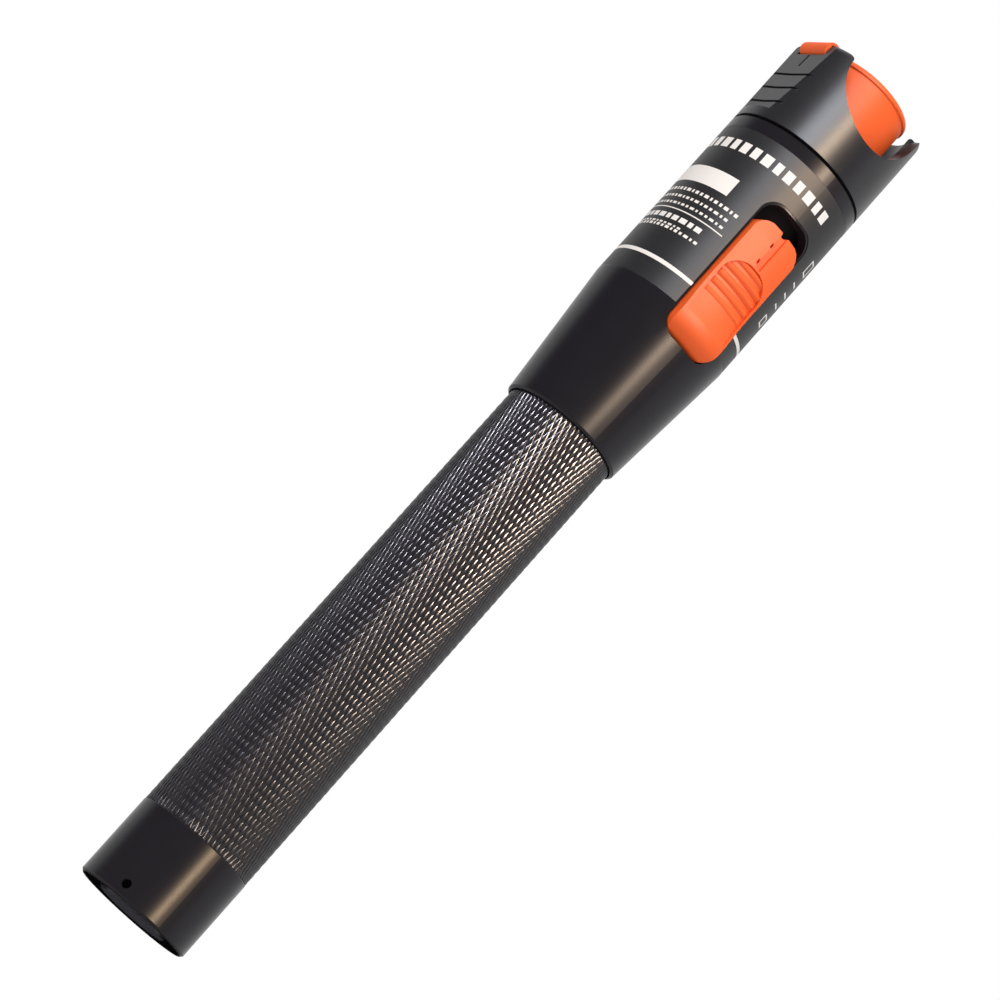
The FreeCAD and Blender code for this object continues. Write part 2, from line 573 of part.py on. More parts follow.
def board_capacitors():
    x = BOARD_X + BOARD_T + SEAT_GAP
    return Part.makeCompound([box(x, x + 1.2, -6.4, -4.8, z - 1.6, z + 1.6)
                              for z in (Z_BOARD + 3.5, Z_BOARD + 9.0, Z_BOARD + 14.5)])


def ground_clip():
    """Sprung strip from the board's ground pad out to the body bore."""
    x = BOARD_X + BOARD_T + SEAT_GAP
    y = BOARD_W / 2 - 0.1
    reach = math.sqrt(R_BORE ** 2 - y ** 2) - 0.25
    foot = box(x, x + 0.3, -y, -y + 1.1, Z_BOARD + 11.0, Z_BOARD + 14.0)
    return foot.fuse(box(x, reach, -y, -y + 0.3, Z_BOARD + 11.6, Z_BOARD + 13.4)).removeSplitter()


def wire(points, radius):
    """Round insulated lead along straight runs with ball-rounded bends."""
    runs = [Part.makeCylinder(radius, (V(*b) - V(*a)).Length, V(*a), V(*b) - V(*a))
            for a, b in zip(points, points[1:])]
    return runs[0].fuse(runs[1:] + [Part.makeSphere(radius, V(*p)) for p in points[1:-1]])


def battery_lead():
    z = Z_DISC + DISC_T + 1.3
    x = BOARD_X - SEAT_GAP - 0.45
    return wire([(0, 0, z + 0.35), (0, 0, z + 1.6), (x, -3.4, z + 4.2), (x, -3.4, z + 6.0)], 0.4)


def laser_leads():
    z = Z_HOLDER - 3.6
    x = BOARD_X - SEAT_GAP - 0.42
    z_end = Z_BOARD_END - 5.0
    runs = [[(-0.64, s * 1.1, z), (x - 0.2, s * 2.6, z - 1.6), (x, s * 2.6, z_end)] for s in (-1, 1)]
    return Part.makeCompound([wire(run, 0.34) for run in runs])


def build():
    return {
        "tail_cap": tail_cap(),
        "contact_spring": contact_spring(),
        "tail_seal_ring": ring(R_SKIRT - SEAL_R, Z_SEAM + 1.2),
        "rear_cell": battery_cell(0),
        "front_cell": battery_cell(1),
        "barrel": barrel(),
        "neck_seal_ring": ring(R_NECK - SEAL_R, Z_SHOULDER + 1.7),
        "front_body": front_body(),
        "label_film": label_film(),
        "slider_button": slider_button(),
        "switch_lever": switch_lever(),
        "switch_case": switch_case(),
        "head_shell": head_shell(),
        "head_seal_ring": ring(R_FRONT_NECK - 0.17, Z_BODY_END + 2.5, 0.22),
        "dust_cap": dust_cap(),
        "seal_pad": seal_pad(),
        "hinge_pin": hinge_pin(),
        "port_adapter": port_adapter(),
        "split_sleeve": split_sleeve(),
        "laser_holder": laser_holder(),
        "laser_diode": laser_diode(),
        "focusing_lens": focusing_lens(),
        "lens_ring": lens_ring(),
        "contact_disc": contact_disc(),
        "positive_contact": positive_contact(),
        "inner_carrier": inner_carrier(),
        "main_board": main_board(),
        "board_screws": board_screws(),
        "driver_chip": driver_chip(),
        "power_coil": power_coil(),
        "board_capacitors": board_capacitors(),
        "ground_clip": ground_clip(),
        "battery_lead": battery_lead(),
        "laser_leads": laser_leads(),
    }


os.makedirs(OUT, exist_ok=True)
for name, shape in build().items():
    shape.exportStep(os.path.join(OUT, name + ".step"))
    solids = shape.Solids
    print("%-18s solids %d valid %s volume %.1f" % (name, len(solids), shape.isValid(), shape.Volume))
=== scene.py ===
"""Visual fault locator: knurled barrel, cap thread, label print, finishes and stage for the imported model."""
import itertools
import math

import bmesh
import bpy
from bpy.props import FloatProperty, FloatVectorProperty, IntProperty, PointerProperty, StringProperty
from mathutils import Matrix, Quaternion, Vector


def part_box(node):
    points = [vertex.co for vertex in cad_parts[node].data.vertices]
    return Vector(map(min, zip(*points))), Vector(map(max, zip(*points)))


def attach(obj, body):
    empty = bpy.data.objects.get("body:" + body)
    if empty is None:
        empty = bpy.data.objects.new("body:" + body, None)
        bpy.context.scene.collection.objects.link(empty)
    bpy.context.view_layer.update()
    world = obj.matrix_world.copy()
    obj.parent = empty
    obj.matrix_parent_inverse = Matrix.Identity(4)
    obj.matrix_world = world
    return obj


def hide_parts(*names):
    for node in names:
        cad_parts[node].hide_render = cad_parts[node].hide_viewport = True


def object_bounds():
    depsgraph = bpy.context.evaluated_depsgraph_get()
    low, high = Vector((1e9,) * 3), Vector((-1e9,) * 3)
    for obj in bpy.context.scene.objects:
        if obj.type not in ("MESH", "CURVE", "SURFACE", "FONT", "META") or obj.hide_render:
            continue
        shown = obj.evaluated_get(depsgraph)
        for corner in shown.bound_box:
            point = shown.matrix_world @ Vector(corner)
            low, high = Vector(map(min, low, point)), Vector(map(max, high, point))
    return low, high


bl_info = {
    "name": "Visual Fault Locator",
    "version": (1, 0, 0),
    "blender": (4, 5, 0),
    "location": "3D View > Sidebar > Fault Locator",
    "description": "Builds the visible pieces, finishes and studio of a pen-type fibre fault locator",
    "category": "Object",
}

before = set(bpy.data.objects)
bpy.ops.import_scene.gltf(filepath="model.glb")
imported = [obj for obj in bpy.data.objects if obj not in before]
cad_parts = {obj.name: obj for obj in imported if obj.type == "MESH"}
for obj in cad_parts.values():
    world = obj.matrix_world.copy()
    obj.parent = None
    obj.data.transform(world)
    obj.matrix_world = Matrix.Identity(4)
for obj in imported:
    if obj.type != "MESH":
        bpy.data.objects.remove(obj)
CAD_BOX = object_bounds()

MM = 0.001

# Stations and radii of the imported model, in metres.
BARREL_LOW, BARREL_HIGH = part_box("barrel")
FILM_LOW, FILM_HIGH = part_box("label_film")
NECK_RING_LOW, NECK_RING_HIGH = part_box("neck_seal_ring")
CAP_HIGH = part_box("tail_cap")[1]
Z_FOOT = CAD_BOX[0][2]                  # tail face
Z_SEAM = BARREL_LOW.z                   # where tail cap and barrel meet
Z_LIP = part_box("front_body")[0].z       # rear edge of the lip over the barrel
R_GRIP = BARREL_HIGH.y
R_FILM = FILM_HIGH.y
R_CAP = CAP_HIGH.y
MIDDLE = Vector((0, 0, (CAD_BOX[0][2] + CAD_BOX[1][2]) / 2))


# ---- settings ------------------------------------------------------------------
class BarrelSettings(bpy.types.PropertyGroup):
    starts: IntProperty(name="Knurl starts", description="Grooves of each hand round the grip", default=68)
    left_step: FloatProperty(name="Left-hand spacing", description="Groove spacing along the barrel",
                             default=3.07 * MM, unit="LENGTH")
    right_step: FloatProperty(name="Right-hand spacing", description="Groove spacing along the barrel",
                              default=3.36 * MM, unit="LENGTH")
    depth: FloatProperty(name="Knurl depth", description="Depth of the V grooves", default=0.16 * MM,
                         unit="LENGTH")
    land: FloatProperty(name="Land", description="Flat top of a diamond as a share of its size", default=0.16,
                        subtype="FACTOR")
    flank: FloatProperty(name="Flank", description="Start of a diamond's steep flank, as a share of its size",
                         default=0.62, subtype="FACTOR")
    flank_drop: FloatProperty(name="Flank drop", description="Depth there, as a share of the knurl depth",
                              default=0.4, subtype="FACTOR")
    shoulder: FloatProperty(name="Shoulder depth", description="How far the grip runs inside the lip",
                            default=1.4 * MM, unit="LENGTH")
    cap_bore: FloatProperty(name="Cap bore", description="Radius that takes the tail cap's skirt",
                            default=8.83 * MM, unit="LENGTH")
    cap_bore_depth: FloatProperty(name="Cap bore depth", description="Length of the bore for the skirt",
                                  default=7.8 * MM, unit="LENGTH")
    cell_bore: FloatProperty(name="Cell bore", description="Radius that takes the cells", default=7.45 * MM,
                             unit="LENGTH")
    neck: FloatProperty(name="Neck", description="Radius of the front neck", default=9.0 * MM, unit="LENGTH")
    neck_groove: FloatProperty(name="Neck groove", description="Depth of the seal ring's groove in the neck",
                               default=0.56 * MM, unit="LENGTH")


class ThreadSettings(bpy.types.PropertyGroup):
    pitch: FloatProperty(name="Thread pitch", description="Travel of the cap in one turn", default=1.25 * MM,
                         unit="LENGTH")
    root: FloatProperty(name="Root radius", description="Skirt radius under the thread", default=8.35 * MM,
                        unit="LENGTH")
    crest: FloatProperty(name="Crest radius", description="Radius over the thread", default=8.7 * MM,
                         unit="LENGTH")
    land: FloatProperty(name="Plain land", description="Plain stretch between seam and thread",
                        default=3.2 * MM, unit="LENGTH")
    front_land: FloatProperty(name="Front land", description="Plain stretch ahead of the thread",
                              default=0.75 * MM, unit="LENGTH")


class PrintSettings(bpy.types.PropertyGroup):
    ink: FloatProperty(name="Ink thickness", description="Height of the ink over the film",
                       default=0.015 * MM, unit="LENGTH")
    ring_line: FloatProperty(name="Ring line width", description="Width of the line round the film",
                             default=0.7 * MM, unit="LENGTH")
    slot_half: FloatProperty(name="Slot half angle", description="Half the slot's opening in the film",
                             default=math.radians(25.9), unit="ROTATION")


class FinishSettings(bpy.types.PropertyGroup):
    anodised: StringProperty(name="Anodised black", description="sRGB colour of the dyed oxide",
                             default="#1E1D22")
    nylon: StringProperty(name="Shell black", description="sRGB colour of the head shell", default="#232327")
    film: StringProperty(name="Film", description="sRGB colour of the printed film", default="#232427")
    orange: StringProperty(name="Orange", description="sRGB colour of slide button and dust cap",
                           default="#ED6027")
    ink: StringProperty(name="Ink", description="sRGB colour of the print", default="#E8E6E4")


class StageSettings(bpy.types.PropertyGroup):
    azimuth: FloatProperty(name="View azimuth", description="0 looks along +Y, 90 along -X",
                           default=math.radians(64.2), unit="ROTATION")
    elevation: FloatProperty(name="View elevation", description="Negative looks up from below",
                             default=math.radians(-13.857), unit="ROTATION")
    roll: FloatProperty(name="View roll", description="Turn of the camera about its own axis",
                        default=math.radians(41.722), unit="ROTATION")
    distance: FloatProperty(name="View distance", description="Camera to the aim point", default=543.57 * MM,
                            unit="LENGTH")
    aim: FloatProperty(name="Aim height", description="Height of the aim point on the pen's axis",
                       default=86.5 * MM, unit="LENGTH")
    lens: FloatProperty(name="Lens", description="Focal length in millimetres on a 36 mm sensor",
                        default=124.24, unit="CAMERA")
    floor_colour: FloatVectorProperty(name="Floor", description="Linear colour of the floor", size=3,
                                      subtype="COLOR", default=(0.86, 0.86, 0.86))
    even_light: FloatProperty(name="Even light", description="Strength of the light from all round",
                              default=0.38)
    flag_azimuth: FloatProperty(name="Flag azimuth", description="Middle of the dark flag, from +X",
                                default=math.radians(-45), unit="ROTATION")
    flag_colour: StringProperty(name="Flag colour", description="sRGB colour that gloss sees in the flag",
                                default="#34323A")


GROUPS = {"barrel": BarrelSettings, "thread": ThreadSettings, "print": PrintSettings,
          "finish": FinishSettings, "stage": StageSettings}


def settings(group):
    return getattr(bpy.context.scene, "fault_locator_" + group)


# ---- mesh helpers --------------------------------------------------------------
def polar(radius, angle, z):
    return (radius * math.cos(angle), radius * math.sin(angle), z)


def stitch(bm, loop_a, loop_b):
    """Quads between two closed loops of equal count."""
    for i in range(len(loop_a)):
        j = (i + 1) % len(loop_a)
        bm.faces.new((loop_a[i], loop_a[j], loop_b[j], loop_b[i]))


def object_from(bm, name, smooth_angle=None, solid=True):
    """Turns a bmesh into a linked object, smoothed up to an angle. A solid's faces are turned outward."""
    if solid:
        bmesh.ops.recalc_face_normals(bm, faces=bm.faces)
    mesh = bpy.data.meshes.new(name)
    bm.to_mesh(mesh)
    bm.free()
    if smooth_angle is not None:
        mesh.shade_smooth()
        mesh.set_sharp_from_angle(angle=smooth_angle)
    piece = bpy.data.objects.new(name, mesh)
    bpy.context.scene.collection.objects.link(piece)
    return piece


# ---- knurled barrel ------------------------------------------------------------
def knurl_diamonds(bm, s, z_start, z_end):
    """Lattice of pillow-shaped diamonds between two stations. Returns the edge loops at both ends.

    Grooves cross at whole columns and rows. A diamond reaches from its left crossing in one row to its right
    one, with a crossing in the row ahead and one in the row behind. Half diamonds close both ends.
    """
    rows = round((z_end - z_start) * (1 / s.left_step + 1 / s.right_step))
    step = (z_end - z_start) / rows
    lean = step / s.right_step          # turn of a right-hand groove in one row, as a share of a diamond
    pitch = 2 * math.pi / s.starts
    crossings = {}

    def point(radius, column, row):
        return polar(radius, (column + row * lean) * pitch, z_start + row * step)

    def drawn_in(corners, middle, row, share, drop):
        """Outline of a diamond, shrunk towards its middle, and sunk by a share of the knurl depth."""
        return [bm.verts.new(point(R_GRIP - s.depth * drop, middle + (c - middle) * share,
                                   row + (r - row) * share)) for c, r in corners]

    def crossing(row, column):
        """Bottom of the grooves where they cross, shared by the diamonds round it."""
        key = (row, column % s.starts)
        if key not in crossings:
            crossings[key] = bm.verts.new(point(R_GRIP - s.depth, key[1], row))
        return crossings[key]

    per_diamond = 5                     # points that a half diamond gives to the edge loop
    loops = {0: [], rows: []}
    for row in range(rows + 1):
        for column in range(s.starts):
            # left, front, right and rear corner of one diamond, as (column, row)
            corners = [(column, row), (column, row + 1), (column + 1, row), (column + 1, row - 1)]
            corners = [(c, r) for c, r in corners if 0 <= r <= rows]
            deep = [crossing(r, c) for c, r in corners]
            flank = drawn_in(corners, column + 0.5, row, s.flank, s.flank_drop)
            top = drawn_in(corners, column + 0.5, row, s.land, 0)
            for i in range(len(corners)):
                j = (i + 1) % len(corners)
                # the cut side of a half diamond stays open
                if len(corners) == 4 or {corners[i][1], corners[j][1]} != {row}:
                    bm.faces.new((deep[i], deep[j], flank[j], flank[i]))
                    bm.faces.new((flank[i], flank[j], top[j], top[i]))
            bm.faces.new(top)
            if row in loops:
                right = corners.index((column + 1, row))
                loops[row] += [deep[0], flank[0], top[0], top[right], flank[right]]
    # the front loop is turned back by whole diamonds, to start about where the rear one does
    shift = per_diamond * (round(rows * lean) % s.starts)
    return loops[0], loops[rows][-shift:] + loops[rows][:-shift]


def knurled_barrel():
    """Knurled grip, with a bore for the cap's skirt, a bore for the cells, and the neck under the lip."""
    s = settings("barrel")
    bm = bmesh.new()
    z_shoulder = Z_LIP + s.shoulder
    rear, front = knurl_diamonds(bm, s, Z_SEAM, z_shoulder)
    z_end, z_bore = BARREL_HIGH.z, Z_SEAM + s.cap_bore_depth
    edge = 0.4 * MM                     # chamfer at both mouths
    room = 0.04 * MM                    # beside the seal ring in its groove
    groove_low, groove_high = NECK_RING_LOW.z - room, NECK_RING_HIGH.z + room
    groove_r = s.neck - s.neck_groove
    profile = [(s.cap_bore + edge, Z_SEAM), (s.cap_bore, Z_SEAM + edge), (s.cap_bore, z_bore),
               (s.cell_bore, z_bore), (s.cell_bore, z_end), (s.neck - edge, z_end), (s.neck, z_end - edge),
               (s.neck, groove_high), (groove_r, groove_high), (groove_r, groove_low), (s.neck, groove_low),
               (s.neck, z_shoulder)]
    angles = [math.atan2(v.co.y, v.co.x) for v in rear]
    last = rear
    for radius, z in profile:
        circle = [bm.verts.new(polar(radius, angle, z)) for angle in angles]
        stitch(bm, last, circle)
        last = circle
    stitch(bm, last, front)
    return object_from(bm, "knurled_barrel", math.radians(35))


# ---- cap thread ----------------------------------------------------------------
def cap_thread():
    """Trapezoid ridge wound on the cap's skirt, running out at both ends."""
    s = settings("thread")
    per_turn = 72                       # sections in one turn
    run_out = 0.12                      # turns in which the ridge rises, and falls again
    sunk = 0.08 * MM                    # how deep its foot lies in the skirt
    base, crest = 0.42 * MM, 0.12 * MM  # half its width at foot and crest
    z_low, z_high = Z_SEAM + s.land, CAP_HIGH.z - s.front_land
    turns = (z_high - z_low) / s.pitch
    steps = int(turns * per_turn)
    bm = bmesh.new()
    rings = []
    for i in range(steps + 1):
        turn = turns * i / steps
        rise = min(1.0, turn / run_out, (turns - turn) / run_out)
        radius = s.root + (s.crest - s.root) * rise
        z = z_low + turn * s.pitch
        angle = 2 * math.pi * turn
        top = radius - sunk * (1 - rise)
        section = [(s.root - sunk, -base), (top, -crest), (top, crest), (s.root - sunk, base)]
        rings.append([bm.verts.new(polar(r, angle, z + dz)) for r, dz in section])
    for a, b in zip(rings, rings[1:]):
        stitch(bm, a, b)
    bm.faces.new(rings[0])
    bm.faces.new(rings[-1])
    return object_from(bm, "cap_thread", math.radians(30))


# ---- label print ---------------------------------------------------------------
# Heights are in millimetres above the film's rear edge, and angles in degrees from the middle of the slot.
FACET = 2.0                             # degrees that one flat of a patch covers
MARKS_START = -112.0                    # where the rows of marks begin, on the far side
PANEL_START = -118.0
LEGEND = (41.5, 51.0)                   # band of the switch legend, beside the slot
HEADING = (6.8, 5.6, 7.6, 6.2)          # widths of blocks, in degrees
SMALL = (2.8, 1.7, 3.6, 2.2)
MEDIUM = (5.4, 3.9, 6.2)


def ink_patch(bm, low, high, start, end):
    """Closed thin patch of ink that follows the film's curve."""
    s = settings("print")
    z_low, z_high = FILM_LOW.z + low * MM, FILM_LOW.z + high * MM
    outer, inner = R_FILM + s.ink, R_FILM - 2 * s.ink
    section = [(outer, z_low), (outer, z_high), (inner, z_high), (inner, z_low)]
    count = max(1, math.ceil((end - start) / FACET))
    columns = []
    for i in range(count + 1):
        angle = math.radians(start + (end - start) * i / count)
        columns.append([bm.verts.new(polar(radius, angle, z)) for radius, z in section])
    for a, b in zip(columns, columns[1:]):
        stitch(bm, a, b)
    bm.faces.new(columns[0])
    bm.faces.new(columns[-1])


def block_row(bm, middle, height, end, start, widths, gap):
    """Row of plain blocks that runs back from one angle to another, widths repeating."""
    for width in itertools.cycle(widths):
        if end - width <= start:
            break
        ink_patch(bm, middle - height / 2, middle + height / 2, end - width, end)
        end -= width + gap


def outline_square(bm, low, high, start, end, line):
    """Outline of a square, all of whose lines have the same width in millimetres."""
    turn = math.degrees(line * MM / R_FILM)
    ink_patch(bm, low, low + line, start, end)
    ink_patch(bm, high - line, high, start, end)
    ink_patch(bm, low + line, high - line, start, start + turn)
    ink_patch(bm, low + line, high - line, end - turn, end)


def label_print():
    """Plain blocks, a panel, lines and a switch legend. There is no lettering."""
    s = settings("print")
    bm = bmesh.new()
    slot_edge, ring_low = math.degrees(s.slot_half), 3.63
    ink_patch(bm, ring_low, ring_low + s.ring_line / MM, slot_edge, 360 - slot_edge)
    # heading row, ahead of the slot, and the filled panel
    block_row(bm, 27.93, 2.0, 18.5, -150.0, HEADING, 3.4)
    ink_patch(bm, 19.08, 22.48, PANEL_START, -49.8)
    # rows of small marks: middle, height and the angle where each ends
    for middle, height, end in ((17.28, 0.6, -33.4), (15.73, 0.5, -37.0), (14.28, 0.45, -36.1),
                                (10.18, 0.35, -59.8), (9.58, 0.5, -42.4)):
        block_row(bm, middle, height, end, MARKS_START, SMALL, 1.9)
    # thin line, and the row of medium blocks under it
    ink_patch(bm, 13.08, 13.28, PANEL_START, -32.6)
    block_row(bm, 11.63, 0.95, -46.1, MARKS_START, MEDIUM, 2.0)
    # switch legend: two squares and three position ticks
    outline_square(bm, 9.23, 11.28, *LEGEND, 0.3)
    outline_square(bm, 20.48, 23.28, *LEGEND, 0.3)
    for tick in (13.38, 15.73, 18.08):
        ink_patch(bm, tick, tick + 0.35, *LEGEND)
    return object_from(bm, "label_print")


# ---- finishes ------------------------------------------------------------------
def linear(hex_colour):
    """sRGB hex to linear RGBA."""
    channels = [int(hex_colour[i:i + 2], 16) / 255 for i in (1, 3, 5)]
    return tuple(c / 12.92 if c <= 0.04045 else ((c + 0.055) / 1.055) ** 2.4 for c in channels) + (1.0,)


def add_node(tree, kind, inputs=None, **values):
    """Adds a node, sets its own values, and fills or links its inputs."""
    node = tree.nodes.new(kind)
    for name, value in values.items():
        setattr(node, name, value)
    for key, value in (inputs or {}).items():
        if isinstance(value, bpy.types.NodeSocket):
            tree.links.new(value, node.inputs[key])
        else:
            node.inputs[key].default_value = value
    return node


def bare_material(name):
    """New material with an empty node tree."""
    material = bpy.data.materials.new(name)
    material.use_nodes = True
    material.node_tree.nodes.clear()
    return material


# Size of the faint colour blotches that handling and moulding leave.
BLOTCH_MM = 4
# Places of the colour sockets in a Mix node, which has sockets of the same names for other types.
MIX_A, MIX_B, MIX_RESULT = 6, 7, 2


def surface(name, hex_colour, roughness, grain_mm, lift_mm, blotch, **sockets):
    """Principled finish with faint colour blotches and a fine grain.

    Most of the real grains are under 0.1 mm, too fine to show, so they are drawn 0.1 to 0.3 mm wide.
    lift_mm is the grain's height, and blotch the share by which the colour varies.
    """
    material = bare_material(name)
    tree = material.node_tree
    place = add_node(tree, "ShaderNodeTexCoord").outputs["Object"]
    cloud = add_node(tree, "ShaderNodeTexNoise",
                     {"Vector": place, "Scale": 1 / (BLOTCH_MM * MM), "Detail": 3.0})
    dark, light = (tuple(min(1.0, c * share) for c in linear(hex_colour)[:3]) + (1.0,)
                   for share in (1 - blotch, 1 + blotch))
    tint = add_node(tree, "ShaderNodeMix", {"Factor": cloud.outputs["Fac"], MIX_A: dark, MIX_B: light},
                    data_type="RGBA")
    grain = add_node(tree, "ShaderNodeTexNoise",
                     {"Vector": place, "Scale": 1 / (grain_mm * MM), "Detail": 2.0}).outputs["Fac"]
    rough = add_node(tree, "ShaderNodeMapRange",
                     {"Value": grain, "To Min": roughness * 0.9, "To Max": roughness * 1.1})
    bump = add_node(tree, "ShaderNodeBump", {"Height": grain, "Strength": 0.6, "Distance": lift_mm * MM})
    shader = add_node(tree, "ShaderNodeBsdfPrincipled", {
        "Base Color": tint.outputs[MIX_RESULT], "Roughness": rough.outputs["Result"],
        "Normal": bump.outputs["Normal"], **sockets})
    add_node(tree, "ShaderNodeOutputMaterial", {"Surface": shader.outputs["BSDF"]})
    return material


def anodised_aluminium():
    """Turned aluminium, bead-blasted and dyed black: a dark satin sheen with a very fine sparkle."""
    return surface("anodised_aluminium_blasted", settings("finish").anodised,
                   roughness=0.30, grain_mm=0.25, lift_mm=0.006, blotch=0.10, **{"Specular IOR Level": 0.19})


def knurled_aluminium():
    """Rolled knurl, dyed black: crisp dark grooves, and lands that catch the light."""
    return surface("anodised_aluminium_knurled", settings("finish").anodised,
                   roughness=0.25, grain_mm=0.3, lift_mm=0.006, blotch=0.10, **{"Specular IOR Level": 0.32})


def moulded_nylon():
    """Glass-filled nylon from a fine-eroded mould: black with a soft, slightly broken sheen."""
    return surface("glass_filled_nylon_moulded", settings("finish").nylon,
                   roughness=0.36, grain_mm=0.3, lift_mm=0.010, blotch=0.12, **{"Specular IOR Level": 0.35})


def moulded_abs():
    """ABS moulded in colour with a fine spark-eroded face: even, bright and satin."""
    return surface("abs_moulded_satin", settings("finish").orange,
                   roughness=0.5, grain_mm=0.22, lift_mm=0.012, blotch=0.03, **{"Specular IOR Level": 0.22})


def printed_film():
    """Matte polyester film, printed dark grey: flat sheen with hardly any grain."""
    return surface("polyester_film_matte", settings("finish").film,
                   roughness=0.45, grain_mm=0.2, lift_mm=0.004, blotch=0.06, **{"Specular IOR Level": 0.26})


def screen_ink():
    """White screen-printing ink: flat off-white, a little uneven where it is thin."""
    return surface("screen_ink_white", settings("finish").ink,
                   roughness=0.6, grain_mm=0.15, lift_mm=0.004, blotch=0.03)


def nickel_plate():
    """Turned brass with bright nickel plate: warm silver, a little uneven."""
    return surface("nickel_plate_turned", "#C8C2B4",
                   roughness=0.22, grain_mm=0.12, lift_mm=0.006, blotch=0.05, Metallic=1.0)


def turned_brass():
    """Free-cutting brass, turned: yellow metal, slightly dulled."""
    return surface("brass_turned", "#C9A45C",
                   roughness=0.3, grain_mm=0.12, lift_mm=0.006, blotch=0.08, Metallic=1.0)


def stamped_steel():
    """Cold-rolled steel, stamped or drawn: plain grey metal with a fine grain."""
    return surface("steel_stamped", "#A9AAAD",
                   roughness=0.32, grain_mm=0.15, lift_mm=0.008, blotch=0.07, Metallic=1.0)


def ground_zirconia():
    """Ground zirconia ceramic: creamy white and glossy."""
    return surface("zirconia_ground", "#EFECE2",
                   roughness=0.15, grain_mm=0.1, lift_mm=0.002, blotch=0.02, IOR=2.1)


def nitrile_rubber():
    """Moulded nitrile rubber: dull black with a dusty bloom."""
    return surface("nitrile_rubber_moulded", "#19191A",
                   roughness=0.75, grain_mm=0.3, lift_mm=0.02, blotch=0.2)


def board_laminate():
    """Glass-epoxy laminate under green solder mask: semi-gloss and faintly mottled."""
    return surface("glass_epoxy_laminate", "#1E5B3A",
                   roughness=0.3, grain_mm=0.5, lift_mm=0.01, blotch=0.15)


def lead_insulation():
    """Extruded PVC lead insulation: soft red with a waxy sheen."""
    return surface("pvc_extruded", "#A8231F",
                   roughness=0.45, grain_mm=0.4, lift_mm=0.01, blotch=0.06)


def cell_sleeve():
    """Shrunk PVC sleeve on a dry cell: glossy and faintly wavy."""
    return surface("cell_sleeve_shrunk", "#4A5A63",
                   roughness=0.25, grain_mm=1.2, lift_mm=0.02, blotch=0.05)


def coated_glass():
    """Anti-reflection coated optical glass: clear with a faint cold reflection."""
    return surface("optical_glass_coated", "#EAF4F6",
                   roughness=0.03, grain_mm=0.5, lift_mm=0.0005, blotch=0.01,
                   **{"Transmission Weight": 1.0, "IOR": 1.52})


CASING = {anodised_aluminium: ["tail_cap", "front_body"], moulded_nylon: ["head_shell"],
          printed_film: ["label_film"], moulded_abs: ["slider_button", "dust_cap"],
          nitrile_rubber: ["tail_seal_ring", "neck_seal_ring", "head_seal_ring", "seal_pad"]}
INSIDE = {nickel_plate: ["port_adapter", "contact_spring"],
          ground_zirconia: ["split_sleeve", "board_capacitors"],
          turned_brass: ["laser_holder", "lens_ring", "positive_contact"], coated_glass: ["focusing_lens"],
          stamped_steel: ["laser_diode", "hinge_pin", "switch_case", "board_screws", "ground_clip"],
          board_laminate: ["main_board", "contact_disc"], lead_insulation: ["battery_lead", "laser_leads"],
          moulded_nylon: ["inner_carrier", "driver_chip", "power_coil", "switch_lever"],
          cell_sleeve: ["rear_cell", "front_cell"]}


def give(piece, material):
    piece.data.materials.clear()
    piece.data.materials.append(material)


def finish_nodes(table):
    """Makes each finish of a table once, and gives it to its nodes."""
    for make, nodes in table.items():
        material = make()
        for node in nodes:
            give(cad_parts[node], material)


# ---- stage ---------------------------------------------------------------------
# The pieces that one lamp's gloss is meant for.
HEAD = ("head_shell", "dust_cap", "label_film", "slider_button")
BODY = ("front_body", "label_film", "slider_button")
GRIP = ("knurled_barrel",)
TAIL = ("tail_cap",)
# Softboxes: azimuth from +X and elevation in degrees, distance, width and height in metres, power in watts,
# colour, lean about the lamp's own axis in degrees, and the pieces that it gives a gloss. A lamp with no such
# pieces lights everything, without gloss.
SOFTBOXES = {
    "overhead_bank": (-26, 46, 0.80, 1.30, 0.20, 8.5, "#FFF6F0", 0, ()),
    "body_strip": (7, 19, 0.72, 0.08, 0.24, 8.6, "#FFE2C6", -40, BODY),
    "head_light": (-13, 27, 0.72, 0.14, 0.12, 5.8, "#FFE2C4", 0, HEAD),
    "head_cool": (-41, 27, 0.72, 0.34, 0.12, 5.0, "#F2F6FF", 0, HEAD),
    "tail_strip": (9, -1, 0.72, 0.07, 0.12, 3.8, "#FFDDB4", -32, TAIL),
    "grip_warm": (15, 29, 0.72, 0.22, 0.20, 29.0, "#FFE6D2", 0, GRIP),
    "grip_cool": (-80, 30, 0.80, 0.16, 0.20, 19.0, "#F4F2FF", 0, GRIP),
}


def round_floor():
    """Pale ring-shaped floor about the tail. It is open under the tail face, and clear from below."""
    drop = 0.1 * MM                     # gap under the tail face
    inside = 1.2 * MM                   # how far the floor reaches under the cap's rim
    angles = [2 * math.pi * i / 96 for i in range(96)]
    bm = bmesh.new()
    rings = [[bm.verts.new(polar(radius, angle, Z_FOOT - drop)) for angle in angles]
             for radius in (2.5, 0.2, R_CAP - inside)]
    for outer, inner in zip(rings, rings[1:]):
        stitch(bm, outer, inner)
    floor = object_from(bm, "floor", solid=False)
    material = bare_material("studio_floor_matte")
    tree = material.node_tree
    matte = add_node(tree, "ShaderNodeBsdfDiffuse", {"Color": (*settings("stage").floor_colour, 1.0)})
    clear = add_node(tree, "ShaderNodeBsdfTransparent")
    side = add_node(tree, "ShaderNodeNewGeometry").outputs["Backfacing"]
    mix = add_node(tree, "ShaderNodeMixShader", {0: side, 1: matte.outputs["BSDF"], 2: clear.outputs["BSDF"]})
    add_node(tree, "ShaderNodeOutputMaterial", {"Surface": mix.outputs["Shader"]})
    give(floor, material)


